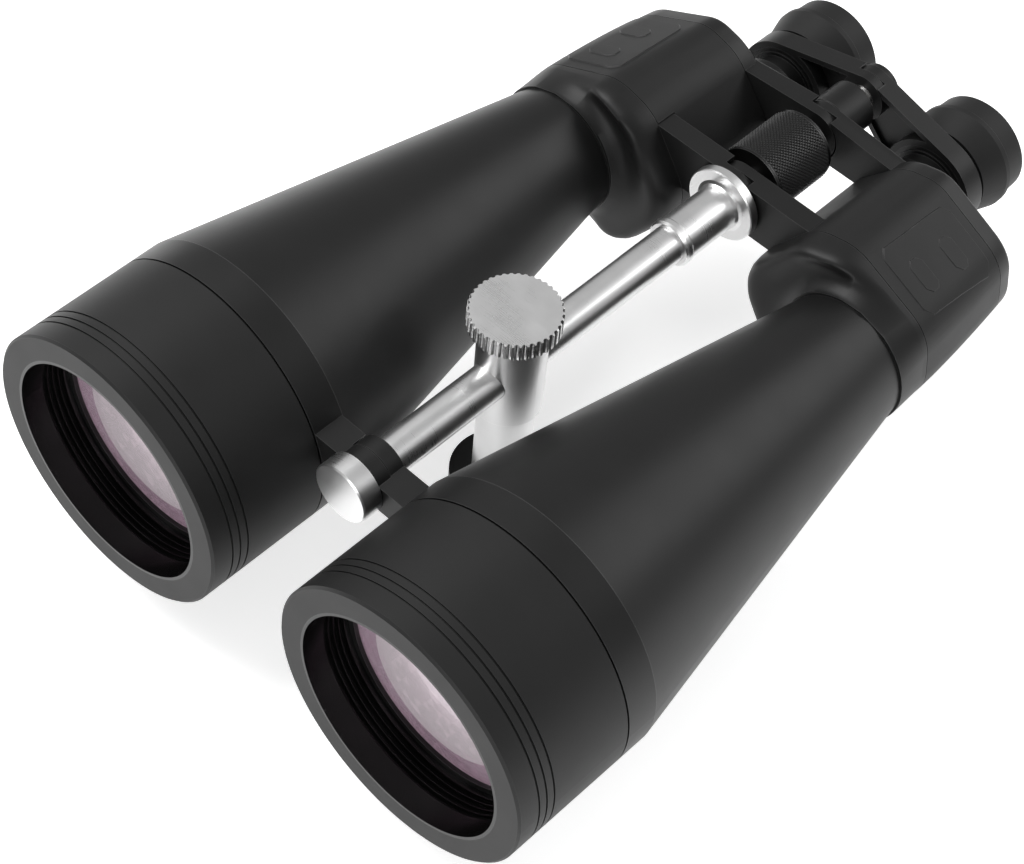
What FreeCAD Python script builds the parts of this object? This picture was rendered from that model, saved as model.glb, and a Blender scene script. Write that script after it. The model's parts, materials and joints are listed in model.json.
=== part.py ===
"""Large porro-prism binoculars with a brace bar and a sliding tripod post.

Millimetres, +Z up. X runs from the user's right barrel (-X) to the left one (+X), and +Y runs
from the object lenses to the eyepieces. The origin is the middle of the footprint, at the level
that the hoods stand on. The left half is modelled, and the right half is its mirror image, apart
from the hinge knuckles, which are stacked along the hinge line. Places along Y are given as
stations: the distance behind the front face of the hoods.
"""
import FreeCAD
import Part
import math
import os
import Sketcher
from FreeCAD import Placement, Rotation, Vector

doc = FreeCAD.newDocument("Binoculars")

# Every size that can be set by itself, in millimetres.
SIZES = {
    # overall
    "hood_gap": 15.1,
    "eyepiece_spacing": 67.8,
    "eyepiece_drop": 3.4,
    "hinge_rise": 15.5,
    "fit": 0.05,
    "seam_gap": 0.3,
    "edge_gap": 0.4,
    "hinge_gap": 0.2,
    # object lens hood
    "hood_wall": 4.6,
    "hood_length": 47.4,
    "opening_margin": 0.4,
    "hood_edge": 0.8,
    "grip_groove_start": 8.0,
    "grip_groove_pitch": 3.2,
    "grip_groove_width": 0.8,
    "grip_groove_depth": 0.6,
    "cap_seat_length": 8.5,
    "baffle_pitch": 2.2,
    "baffle_depth": 1.0,
    "baffle_ramp": 0.9,
    "cell_wall": 6.0,
    "cell_front": 19.0,
    "cell_length": 21.0,
    "cell_lip": 1.6,
    "cell_lip_wall": 1.8,
    # object lens
    "lens_radius": 40.0,
    "lens_setback": 0.6,
    "crown_edge": 3.0,
    "crown_front_curve": 180.0,
    "crown_rear_curve": 150.0,
    "flint_edge": 8.8,
    "retainer_width": 3.5,
    "retainer_length": 3.0,
    # band round the front of the barrel, with the brace knuckle
    "band_width": 11.9,
    "band_tab_above": 5.0,
    "band_tab_below": 6.5,
    "brace_knuckle_wall": 2.9,
    # barrel
    "barrel_length": 150.5,
    "barrel_end_radius": 24.3,
    "barrel_wall": 2.8,
    "spigot_length": 18.9,
    "spigot_step": 2.3,
    "rear_spigot_length": 6.0,
    "rear_spigot_wall": 2.4,
    "bore_taper": 4.0,
    "barrel_front_step": 1.0,
    # prism housing
    "collar_reach": 1.7,
    "nose_length": 12.5,
    "nose_round": 11.0,
    "body_length": 46.0,
    "cover_thickness": 7.5,
    "shelf_depth": 29.0,
    "screw_inset": 9.0,
    "outer_screw_rise": 4.0,
    "top_screw_in": 10.0,
    "low_screw_out": 2.0,
    "low_screw_inset": 6.0,
    "cover_round": 2.2,
    "outline_round": 18.0,
    "outline_top_margin": 19.9,
    "outline_top_inset": 12.0,
    "outline_shoulder_margin": 16.0,
    "outline_shoulder_inset": 3.0,
    "outline_outer_top": 18.3,
    "outline_outer_slope": 4.0,
    "outline_outer_low": 7.0,
    "outline_bottom": 29.0,
    "outline_bottom_out": 6.0,
    "outline_bottom_in": 1.0,
    "outline_outer_margin": 1.5,
    "outline_inner_margin": 3.9,
    "armour_thickness": 1.6,
    "housing_wall": 2.6,
    "nose_wall": 4.5,
    "collar_wall": 3.2,
    # hinge
    "front_lug_width": 8.5,
    "knuckle_wall": 5.5,
    "rear_knuckle_wall": 4.6,
    "lug_foot": 0.5,
    "lug_reach": 4.0,
    "lug_side_share": 0.6,
    "axle_radius": 5.0,
    "hub_wall": 4.5,
    "hub_length": 14.7,
    "hub_edge": 0.4,
    "axle_gap": 2.0,
    "axle_end_gap": 0.5,
    "axle_into_wheel": 6.0,
    # focus wheel
    "wheel_gap": 3.1,
    "wheel_length": 27.5,
    "wheel_radius": 13.7,
    "wheel_rim_step": 0.4,
    "wheel_rim_width": 1.2,
    "grip_thickness": 1.5,
    "spindle_radius": 4.0,
    "spindle_inset": 11.4,
    # eyepiece bridge
    "bridge_gap": 4.6,
    "arm_width": 8.0,
    "arm_web": 2.5,
    "arm_wall": 2.2,
    "arm_knuckle_wall": 4.0,
    "arm_ring_wall": 2.4,
    "arm_relief": 19.6,
    "collar_sleeve": 1.6,
    "bridge_cap_radius": 8.0,
    "bridge_cap_length": 2.6,
    # eyepiece
    "guide_wall": 2.0,
    "guide_room": 7.0,
    "guide_flange_step": 1.8,
    "guide_flange_width": 2.5,
    "guide_flange_edge": 1.0,
    "draw_tube_step": 1.4,
    "draw_tube_inset": 6.2,
    "collar_width": 3.0,
    "collar_rim_step": 0.4,
    "ocular_radius": 14.4,
    "ocular_neck_gap": 0.5,
    "ocular_length": 26.0,
    "ocular_wall": 2.8,
    "ocular_lens_step": 0.6,
    "eye_lens_depth": 8.0,
    "eye_lens_thickness": 5.0,
    "field_lens_depth": 6.8,
    "field_lens_thickness": 4.0,
    "cup_gap": 2.0,
    "cup_length": 21.5,
    "cup_front_wall": 0.9,
    "cup_lip_along": 11.8,
    "cup_lip_rise": 3.0,
    "cup_lip_land": 2.0,
    "cup_lip_step": 0.9,
    "cup_end_step": 1.3,
    "cup_end_wall": 2.7,
    "cup_end_round": 0.8,
    "cup_seat_lip": 1.2,
    "cup_seat_lip_width": 0.6,
    "cup_skirt_depth": 4.6,
    # brace
    "bar_radius": 6.8,
    "end_cap_reach": 7.8,
    "end_cap_wall": 4.2,
    "end_cap_edge": 0.5,
    "end_cap_face": 2.1,
    "cap_screw_radius": 2.0,
    "cap_screw_stand": 2.2,
    "sleeve_length": 26.5,
    "sleeve_wall": 1.6,
    "sleeve_bead_step": 0.5,
    "sleeve_bead_edge": 0.8,
    "sleeve_fillet": 1.6,
    "sleeve_bead_width": 3.4,
    "sleeve_bore_depth": 8.0,
    "flange_gap": 0.8,
    "flange_rim": 5.7,
    "flange_edge": 0.4,
    "flange_width": 3.7,
    # tripod post
    "post_station": 116.0,
    "post_head_wall": 5.0,
    "post_head_top": 11.7,
    "post_head_foot": 10.7,
    "post_leg_step": 1.9,
    "foot_radius": 17.5,
    "foot_thickness": 8.0,
    "foot_clearance": 2.6,
    "insert_wall": 2.05,
    "insert_length": 10.0,
    "tripod_thread_radius": 2.55,
    "tripod_thread_depth": 9.0,
    "clamp_screw_radius": 3.0,
    "clamp_pad_thickness": 1.6,
    "knob_radius": 15.6,
    "knob_thickness": 7.0,
    "knob_gap": 1.9,
    "knob_boss_radius": 8.0,
    "knob_flute_radius": 0.85,
    "knob_edge": 0.4,
    "knob_shank_gap": 0.3,
}

# Sizes that follow from the ones above.
FOLLOWING = {
    "cell_radius": "lens_radius + cell_wall",
    "hood_radius": "cell_radius + hood_wall",
    "hood_opening": "lens_radius + opening_margin",
    "brace_knuckle_radius": "bar_radius + brace_knuckle_wall",
    "band_end": "hood_length + band_width",
    "barrel_end": "band_end + barrel_length",
    "rear_spigot_radius": "barrel_end_radius - spigot_step",
    "light_path_radius": "rear_spigot_radius - rear_spigot_wall",
    "collar_radius": "rear_spigot_radius + collar_wall",
    "nose_front": "barrel_end + collar_reach",
    "housing_seam": "nose_front + nose_length",
    "cover_front": "housing_seam + body_length",
    "cover_rear": "cover_front + cover_thickness",
    "barrel_across": "hood_radius + hood_gap",
    "eye_across": "eyepiece_spacing / 2",
    "fold_across": "(barrel_across - eye_across - eyepiece_drop) / 2",
    "outline_outer": "barrel_end_radius + outline_outer_margin",
    "outline_inner": "guide_radius + outline_inner_margin",
    "outline_top": "fold_across + outline_top_margin",
    "outline_shoulder": "fold_across + outline_shoulder_margin",
    "knuckle_radius": "axle_radius + knuckle_wall",
    "rear_knuckle_radius": "axle_radius + rear_knuckle_wall",
    "arm_knuckle_radius": "axle_radius + arm_knuckle_wall",
    "hub_radius": "axle_radius + hub_wall",
    "wheel_front": "housing_seam + front_lug_width + wheel_gap",
    "wheel_end": "wheel_front + wheel_length",
    "wheel_rim_radius": "wheel_radius - wheel_rim_step",
    "spindle_start": "wheel_front + spindle_inset",
    "hub_end": "cover_rear + hinge_gap + hub_length",
    "bridge_front": "hub_end + bridge_gap",
    "bridge_rear": "bridge_front + arm_width",
    "ring_bore": "ocular_radius + collar_sleeve",
    "arm_ring_radius": "ring_bore + arm_ring_wall",
    "draw_tube_radius": "ocular_radius - draw_tube_step",
    "draw_tube_start": "cover_front + draw_tube_inset",
    "guide_radius": "draw_tube_radius + guide_wall",
    "guide_length": "bridge_front - guide_room - cover_front",
    "guide_flange_radius": "guide_radius + guide_flange_step",
    "collar_rim_radius": "ring_bore + collar_rim_step",
    "ocular_end": "bridge_front + ocular_length",
    "ocular_seat": "ocular_radius - ocular_wall",
    "ocular_bore": "ocular_seat - ocular_lens_step",
    "eye_lens_front": "ocular_end - eye_lens_depth",
    "field_lens_front": "draw_tube_start + field_lens_depth",
    "cup_front": "bridge_rear + cup_gap",
    "cup_front_radius": "collar_rim_radius + seam_gap + cup_front_wall",
    "cup_lip_station": "cup_front + cup_lip_along",
    "cup_lip_radius": "cup_front_radius + cup_lip_rise",
    "cup_end_radius": "cup_lip_radius - cup_end_step",
    "cup_mouth_radius": "cup_end_radius - cup_end_wall",
    "overall_length": "cup_front + cup_length",
    "end_cap_front": "hood_length - end_cap_reach",
    "end_cap_radius": "bar_radius + end_cap_wall",
    "flange_front": "housing_seam - flange_gap - flange_width",
    "sleeve_front": "flange_front - sleeve_length",
    "sleeve_radius": "bar_radius + sleeve_wall",
    "sleeve_bead_radius": "sleeve_radius + sleeve_bead_step",
    "flange_radius": "sleeve_radius + flange_rim",
    "front_axle_start": "sleeve_front + sleeve_bore_depth + axle_gap",
    "post_head_radius": "bar_radius + post_head_wall",
    "post_head_above": "bar_radius + post_head_top",
    "post_head_below": "bar_radius + post_head_foot",
    "post_radius": "post_head_radius - post_leg_step",
    "insert_radius": "tripod_thread_radius + insert_wall",
}
KNOB_FLUTES = 40
ARM_RELIEF_ANGLE = 56
COVER_SCREW_RADIUS = 2.2
COVER_SCREW_HEAD = 0.8
NOSE_STEPS = 6


class Size:
    """A size with its number and the sheet formula that gives it."""

    def __init__(self, value, text):
        self.value = value
        self.text = text

    @staticmethod
    def of(thing):
        return thing if isinstance(thing, Size) else Size(float(thing), repr(float(thing)))

    def _with(self, other, sign, value):
        return Size(value, f"({self.text} {sign} {Size.of(other).text})")

    def __add__(self, other):
        return self._with(other, "+", self.value + Size.of(other).value)

    def __sub__(self, other):
        return self._with(other, "-", self.value - Size.of(other).value)

    def __mul__(self, other):
        return self._with(other, "*", self.value * Size.of(other).value)

    def __truediv__(self, other):
        return self._with(other, "/", self.value / Size.of(other).value)

    def __radd__(self, other):
        return Size.of(other) + self

    def __rsub__(self, other):
        return Size.of(other) - self

    def __rmul__(self, other):
        return Size.of(other) * self

    def __neg__(self):
        return Size.of(0) - self


class Sheet:
    """The spreadsheet of driving sizes; sheet.hood_radius gives that cell as a Size."""

    def __init__(self, sizes):
        cells = doc.addObject("Spreadsheet::Sheet", "Sizes")
        for row, (name, value) in enumerate(sizes.items(), start=1):
            cells.set(f"A{row}", name)
            cells.set(f"B{row}", f"={value}")
            cells.setAlias(f"B{row}", name)
        self.cells = cells

    def __getattr__(self, name):
        return Size(float(self.cells.get(name)), f"Sizes.{name}")


s = Sheet({**SIZES, **FOLLOWING})
doc.recompute()

# Lines that the pieces share.
front = -(s.overall_length / 2)
barrel_x = s.barrel_across
barrel_z = s.hood_radius
eye_x = s.eye_across
eye_z = barrel_z - s.eyepiece_drop
hinge_z = barrel_z + s.hinge_rise

nodes = []


def station(distance):
    """The Y place of a distance behind the front face of the hoods."""
    return front + distance


def bind(thing, prop, size):
    """Bind one size or place of an object to the sheet."""
    if isinstance(size, Size):
        thing.setExpression(prop, size.text)
    else:
        thing.setExpression(prop, repr(float(size)))


def place(thing, x=0, y=0, z=0):
    """Put an object at a place given by sizes."""
    for axis, size in zip("xyz", (x, y, z)):
        bind(thing, f"Placement.Base.{axis}", size)
    return thing


def node(label, thing):
    """Name an object as one of the finished sub-parts."""
    thing.Label = label
    nodes.append(thing)
    return thing


def mirrored(label, thing):
    """The right-hand copy of a left-hand piece."""
    copy = doc.addObject("Part::Mirroring", f"{label}_mirror")
    copy.Source = thing
    copy.Base = Vector(0, 0, 0)
    copy.Normal = Vector(1, 0, 0)
    return node(label, copy)


def pair(name, thing):
    """A left-hand piece and its mirror image."""
    node(f"left_{name}", thing)
    mirrored(f"right_{name}", thing)
    return thing


# Sketches.

def closed_outline(sketch, points):
    """Draw a closed outline of straight lines, each corner held by the sheet."""
    count = len(points)
    sizes = [(Size.of(across), Size.of(along)) for across, along in points]
    for i in range(count):
        (x1, y1), (x2, y2) = sizes[i], sizes[(i + 1) % count]
        sketch.addGeometry(Part.LineSegment(Vector(x1.value, y1.value, 0), Vector(x2.value, y2.value, 0)))
    for i in range(count):
        sketch.addConstraint(Sketcher.Constraint("Coincident", i, 2, (i + 1) % count, 1))
    for i, corner in enumerate(sizes):
        for kind, axis, size in zip(("DistanceX", "DistanceY"), (-2, -1), corner):
            if abs(size.value) < 1e-9:
                sketch.addConstraint(Sketcher.Constraint("PointOnObject", i, 1, axis))
            else:
                number = sketch.addConstraint(Sketcher.Constraint(kind, -1, 1, i, 1, size.value))
                sketch.setExpression(f"Constraints[{number}]", size.text)


def origin_plane(body, role):
    """One of a body's own origin planes."""
    return next(part for part in body.Origin.OriginFeatures if part.Role == role)


def body_sketch(body, name, plane):
    """A sketch on one of a body's own origin planes."""
    sketch = body.newObject("Sketcher::SketchObject", name)
    sketch.AttachmentSupport = [(origin_plane(body, plane), "")]
    sketch.MapMode = "FlatFace"
    return sketch


# Solids.

def turned(name, profile, x=0, z=0):
    """A turned piece on an axis along Y; its profile is (radius, station) corners."""
    body = doc.addObject("PartDesign::Body", name)
    sketch = body_sketch(body, f"{name}_profile", "XY_Plane")
    closed_outline(sketch, profile)
    turn = body.newObject("PartDesign::Revolution", f"{name}_turn")
    turn.Profile = sketch
    turn.ReferenceAxis = (sketch, ["V_Axis"])
    turn.Angle = 360
    return place(body, x, front, z)


def ring(name, inner, outer, start, length, x=0, z=0):
    """A plain tube along Y."""
    end = start + length
    return turned(name, [(inner, start), (outer, start), (outer, end), (inner, end)], x, z)


def rod(name, radius, start, length, x=0, z=0):
    """A plain cylinder along Y."""
    cylinder = doc.addObject("Part::Cylinder", name)
    bind(cylinder, "Radius", radius)
    bind(cylinder, "Height", length)
    cylinder.Placement = Placement(Vector(0, 0, 0), Rotation(Vector(1, 0, 0), -90))
    return place(cylinder, x, station(start), z)


def post(name, radius, bottom, height, y):
    """A plain upright cylinder."""
    cylinder = doc.addObject("Part::Cylinder", name)
    bind(cylinder, "Radius", radius)
    bind(cylinder, "Height", height)
    return place(cylinder, 0, y, bottom)


def ball(name, radius, centre, x=0, z=0):
    """A sphere centred at a station."""
    sphere = doc.addObject("Part::Sphere", name)
    bind(sphere, "Radius", radius)
    return place(sphere, x, station(centre), z)


def block(name, x, start, z, width, length, height):
    """A box from its low corner."""
    box = doc.addObject("Part::Box", name)
    bind(box, "Length", width)
    bind(box, "Width", length)
    bind(box, "Height", height)
    return place(box, x, station(start), z)


def fused(name, parts):
    """Several solids joined into one."""
    joint = doc.addObject("Part::MultiFuse", name)
    joint.Shapes = parts
    joint.Refine = True
    return joint


def cut(name, base, *tools):
    """A solid less one or more others."""
    tool = tools[0] if len(tools) == 1 else fused(f"{name}_tools", list(tools))
    result = doc.addObject("Part::Cut", name)
    result.Base = base
    result.Tool = tool
    return result


def common(name, parts):
    """What several solids share."""
    result = doc.addObject("Part::MultiCommon", name)
    result.Shapes = parts
    return result


# The housing's outline, seen from the front, is one closed line with rounded corners. Every
# level of the housing is that line moved in or out by a named wall.

def housing_core():
    """The outline's corners, moved in by the corner radius."""
    outer = barrel_x + s.outline_outer
    sketch = doc.addObject("Sketcher::SketchObject", "housing_outline")
    sketch.Placement = Placement(Vector(0, 0, 0), Rotation(Vector(1, 0, 0), 90))
    closed_outline(sketch, [
        (eye_x - s.outline_inner, barrel_z),
        (eye_x + s.outline_shoulder_inset, barrel_z + s.outline_shoulder),
        (barrel_x - s.outline_top_inset, barrel_z + s.outline_top),
        (outer - s.outline_outer_slope, barrel_z + s.outline_outer_top),
        (outer, barrel_z - s.outline_outer_low),
        (barrel_x + s.outline_bottom_out, barrel_z - s.outline_bottom),
        (eye_x + s.outline_bottom_in, barrel_z - s.outline_bottom),
    ])
    core = doc.addObject("Part::Offset2D", "housing_core")
    core.Source = sketch
    core.Join = "Intersection"
    bind(core, "Value", -s.outline_round)
    return core


def outline_at(name, inset, start):
    """The rounded outline, moved in by an inset, at a station."""
    line = doc.addObject("Part::Offset2D", name)
    line.Source = outline_core
    line.Join = "Arc"
    bind(line, "Value", s.outline_round - inset)
    return place(line, 0, station(start), 0)


def outline_block(name, inset, start, length):
    """A solid with the housing's outline, moved in by an inset."""
    solid = doc.addObject("Part::Extrusion", name)
    solid.Base = outline_at(f"{name}_line", inset, start)
    solid.DirMode = "Custom"
    solid.Dir = Vector(0, 1, 0)
    solid.Solid = True
    bind(solid, "LengthFwd", length)
    return solid


def rounded_end(name, start, length, inset):
    """A solid that swells from an inset outline to the full one along a quarter ellipse.

    A negative length swells towards the front.
    """
    lines = []
    for step in range(NOSE_STEPS + 1):
        angle = math.radians(90 * step / NOSE_STEPS)
        along = start + length * (1 - math.cos(angle))
        lines.append(outline_at(f"{name}_line_{step}", inset * (1 - math.sin(angle)), along))
    loft = doc.addObject("Part::Loft", name)
    loft.Sections = lines
    loft.Solid = True
    loft.Ruled = True
    return loft


outline_core = housing_core()


# Object lens end of a barrel.

def make_hood():
    """The hood: three grip grooves outside, a smooth cap seat and then baffles inside."""
    profile = [(s.hood_opening, 0), (s.hood_radius - s.hood_edge, 0), (s.hood_radius, s.hood_edge)]
    for groove in range(3):
        begin = s.grip_groove_start + groove * s.grip_groove_pitch
        end = begin + s.grip_groove_width
        floor = s.hood_radius - s.grip_groove_depth
        profile += [(s.hood_radius, begin), (floor, begin), (floor, end), (s.hood_radius, end)]
    profile += [(s.hood_radius, s.hood_length - s.hood_edge), (s.hood_radius - s.hood_edge, s.hood_length)]
    profile += [(s.cell_radius + s.fit, s.hood_length), (s.cell_radius + s.fit, s.cell_front)]
    profile += [(s.hood_opening, s.cell_front)]
    for ridge in (3, 2, 1, 0):
        begin = s.cap_seat_length + ridge * s.baffle_pitch
        crest = begin + s.baffle_pitch * s.baffle_ramp
        profile.append((s.hood_opening, crest))
        profile.append((s.hood_opening + s.baffle_depth, crest))
        profile.append((s.hood_opening, begin))
    return turned("hood", profile, barrel_x, barrel_z)


def make_lens_cell():
    """The cell that holds the object lens, with a lip in front of the glass."""
    start = s.cell_front + s.fit
    end = s.cell_front + s.cell_length
    seat = s.lens_radius + s.fit
    lip = s.lens_radius - s.cell_lip_wall
    profile = [(lip, start), (s.cell_radius, start), (s.cell_radius, end), (seat, end)]
    profile += [(seat, start + s.cell_lip), (lip, start + s.cell_lip)]
    return turned("lens_cell", profile, barrel_x, barrel_z)


def make_lens():
    """The object lens: a convex crown and the flint cemented behind it."""
    edge = s.cell_front + s.cell_lip + s.lens_setback
    joint = edge + s.crown_edge
    sagitta = {}
    for name, curve in (("front", s.crown_front_curve), ("rear", s.crown_rear_curve)):
        text = f"sqrt({curve.text}^2 - {s.lens_radius.text}^2)"
        sagitta[name] = Size(math.sqrt(curve.value ** 2 - s.lens_radius.value ** 2), text)
    front_ball = ball("crown_front", s.crown_front_curve, edge + sagitta["front"], barrel_x, barrel_z)
    rear_centre = joint - sagitta["rear"]
    rear_ball = ball("crown_rear", s.crown_rear_curve, rear_centre, barrel_x, barrel_z)
    reach = s.lens_radius
    blank = rod("crown_blank", s.lens_radius, edge - reach, s.crown_edge + reach * 2, barrel_x, barrel_z)
    crown = common("crown_lens", [blank, front_ball, rear_ball])
    flint_blank = rod("flint_blank", s.lens_radius, joint, s.flint_edge, barrel_x, barrel_z)
    flint_ball = ball("flint_front", s.crown_rear_curve, rear_centre, barrel_x, barrel_z)
    return crown, cut("flint_lens", flint_blank, flint_ball), joint + s.flint_edge


def make_brace_band(name, own, other):
    """The band behind the hood, with the tab and knuckle that the brace bar passes through."""
    start = s.hood_length
    hoop = rod(f"{name}_hoop", s.hood_radius, start, s.band_width, barrel_x, barrel_z)
    depth = s.band_width - s.seam_gap
    height = s.band_tab_above + s.band_tab_below
    low = hinge_z - s.band_tab_below
    tab = block(f"{name}_tab", 0, start + s.seam_gap / 2, low, barrel_x - s.cell_radius, depth, height)
    knuckle = rod(f"{name}_knuckle", s.brace_knuckle_radius, own[0], own[1], 0, hinge_z)
    solid = fused(f"{name}_solid", [hoop, tab, knuckle])
    barrel_bore = rod(f"{name}_bore", s.cell_radius + s.fit, start, s.band_width, barrel_x, barrel_z)
    bar_bore = rod(f"{name}_bar_bore", s.bar_radius + s.fit, start, s.band_width, 0, hinge_z)
    room = rod(f"{name}_room", s.brace_knuckle_radius + s.seam_gap, other[0], other[1], 0, hinge_z)
    return cut(name, solid, barrel_bore, bar_bore, room)


def make_barrel():
    """The tapered barrel, with a spigot through the band into the hood and one into the housing."""
    spigot_inner = s.cell_radius - s.barrel_wall
    spigot_front = s.band_end - s.spigot_length
    end_inner = s.barrel_end_radius - s.barrel_wall
    rear = s.barrel_end + s.rear_spigot_length
    profile = [(spigot_inner, spigot_front), (s.cell_radius, spigot_front), (s.cell_radius, s.band_end)]
    profile += [(s.hood_radius, s.band_end), (s.barrel_end_radius, s.barrel_end)]
    profile += [(s.rear_spigot_radius, s.barrel_end), (s.rear_spigot_radius, rear)]
    profile += [(s.light_path_radius, rear), (s.light_path_radius, s.barrel_end - s.bore_taper / 2)]
    profile += [(end_inner, s.barrel_end - s.bore_taper)]
    profile += [(s.hood_radius - s.barrel_wall - s.barrel_front_step, s.band_end + s.bore_taper)]
    profile += [(spigot_inner, s.band_end)]
    return turned("barrel", profile, barrel_x, barrel_z)


# Prism housing.

def knuckle_slots(start, width):
    """The two knuckles' places along the hinge line: (start, length) of the front and rear one."""
    half = (width - s.hinge_gap) / 2
    return (start, half), (start + half + s.hinge_gap, half)


def room_for(slot):
    """The slot of a knuckle with the hinge gap at both of its faces."""
    return slot[0] - s.hinge_gap, slot[1] + s.hinge_gap * 2


def lug(name, own, other, start, width, radius):
    """A hinge lug with its knuckle, and the room it leaves for the other half's knuckle."""
    low = hinge_z - radius + s.lug_foot
    plate = block(f"{name}_plate", 0, start, low, eye_x + s.lug_reach, width, radius * 2 - s.lug_foot)
    knuckle = rod(f"{name}_knuckle", radius, own[0], own[1], 0, hinge_z)
    other_slot = room_for(other)
    room = rod(f"{name}_room", radius + s.seam_gap * 2, other_slot[0], other_slot[1], 0, hinge_z)
    side_width = radius * s.lug_side_share
    side = block(f"{name}_side", 0, other_slot[0], hinge_z - radius * 2, side_width, other_slot[1], radius * 4)
    bore = rod(f"{name}_bore", s.axle_radius + s.fit, start, width, 0, hinge_z)
    return fused(f"{name}_solid", [plate, knuckle]), [room, side, bore]


def make_housing(name, own, other):
    """The prism housing: rounded nose, collar for the barrel, hollow body and front hinge lug."""
    swell = s.nose_round
    body_start = s.nose_front + swell
    nose = rounded_end(f"{name}_nose", s.nose_front, swell, s.nose_round)
    rim = outline_block(f"{name}_rim", 0, body_start, s.housing_seam - body_start)
    shell = outline_block(f"{name}_shell", s.armour_thickness, s.housing_seam, s.cover_front - s.housing_seam)
    collar = rod(f"{name}_collar", s.collar_radius, s.barrel_end, body_start - s.barrel_end, barrel_x, barrel_z)
    arm, arm_cuts = lug(f"{name}_lug", own, other, s.housing_seam, s.front_lug_width, s.knuckle_radius)
    solid = fused(f"{name}_solid", [nose, rim, shell, collar, arm])
    wall = s.armour_thickness + s.housing_wall
    room_front = s.nose_front + s.nose_wall
    cavity = outline_block(f"{name}_cavity", wall, room_front, s.cover_front - room_front)
    seat = s.rear_spigot_radius + s.fit
    socket = rod(f"{name}_socket", seat, s.barrel_end, s.rear_spigot_length + s.fit, barrel_x, barrel_z)
    return cut(name, solid, cavity, socket, *arm_cuts)


def make_armour():
    """The rubber skin round the housing, notched where the front hinge lug passes."""
    start = s.housing_seam + s.seam_gap
    length = s.cover_front - s.housing_seam - s.seam_gap * 2
    skin = outline_block("armour_skin", 0, start, length)
    inner = outline_block("armour_inner", s.armour_thickness - s.fit, start, length)
    across = eye_x + s.lug_reach + s.seam_gap
    depth = s.front_lug_width + s.seam_gap
    height = s.knuckle_radius * 2 + s.edge_gap
    notch = block("armour_notch", 0, s.housing_seam, hinge_z - s.knuckle_radius, across, depth, height)
    return cut("armour", skin, inner, notch)


def make_rear_cover(name, own, other):
    """The rear cover with the rear hinge lug and the hole for the eyepiece guide."""
    flat = s.cover_thickness - s.cover_round
    plate = outline_block(f"{name}_plate", 0, s.cover_front, flat)
    edge = rounded_end(f"{name}_edge", s.cover_rear, -s.cover_round, s.cover_round)
    arm, arm_cuts = lug(f"{name}_lug", own, other, s.cover_front, s.cover_thickness, s.rear_knuckle_radius)
    solid = fused(f"{name}_solid", [plate, edge, arm])
    hole = rod(f"{name}_hole", s.guide_radius + s.fit, s.cover_front, s.cover_thickness, eye_x, eye_z)
    holes = cover_screw_rods(f"{name}_screw_hole", s.fit)
    return cut(name, solid, hole, *arm_cuts, *holes)


def cover_screw_rods(name, extra):
    """The shanks of the three screws that hold the rear cover."""
    places = [
        (barrel_x + s.outline_outer - s.screw_inset, barrel_z + s.outer_screw_rise),
        (barrel_x - s.top_screw_in, barrel_z + s.outline_top - s.screw_inset),
        (barrel_x + s.low_screw_out, barrel_z - s.outline_bottom + s.low_screw_inset),
    ]
    rods = []
    for number, (x, z) in enumerate(places, start=1):
        rods.append(rod(f"{name}_{number}", COVER_SCREW_RADIUS + extra, s.cover_front, s.cover_thickness, x, z))
    return rods


def make_cover_screws():
    """Three identical screws with low heads on the rear cover."""
    shanks = cover_screw_rods("cover_screw_shank", 0)
    heads = cover_screw_rods("cover_screw_head", 1)
    for head in heads:
        bind(head, "Height", COVER_SCREW_HEAD)
        bind(head, "Placement.Base.y", station(s.cover_rear))
    screws = [fused(f"cover_screw_{i}", [a, b]) for i, (a, b) in enumerate(zip(shanks, heads), start=1)]
    group = doc.addObject("Part::Compound", "cover_screws")
    group.Links = screws
    return group


# The light leaves the barrel axis, folds once sideways and up in the rear prism, once sideways and
# down in the front prism, and so reaches the eyepiece axis.
PLATE_THICKNESS = 2.0
PLATE_HOLE = 9.5
PRISM_LENGTH = 39.0
PRISM_WIDTH = 17.0
PRISM_RIDGE = 2.0
CLIP_THICKNESS = 0.8
shelf = s.cover_front - s.shelf_depth


def fold_point():
    """Where the light passes from the rear prism to the front one, across the housing."""
    dx = (eye_x - barrel_x).value
    dz = (eye_z - barrel_z).value
    return barrel_x.value + (dx - dz) / 2, barrel_z.value + (dz - dx) / 2


def make_prism_plate():
    """The shelf between the prisms, with a hole for each of the three light paths."""
    wall = s.armour_thickness + s.housing_wall + s.fit
    plate = outline_block("prism_shelf", wall, shelf, PLATE_THICKNESS)
    middle = fold_point()
    paths = [(barrel_x, barrel_z), middle, (eye_x, eye_z)]
    holes = [rod(f"shelf_hole_{i}", PLATE_HOLE, shelf, PLATE_THICKNESS, x, z) for i, (x, z) in enumerate(paths)]
    return cut("prism_plate", plate, *holes)


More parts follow.
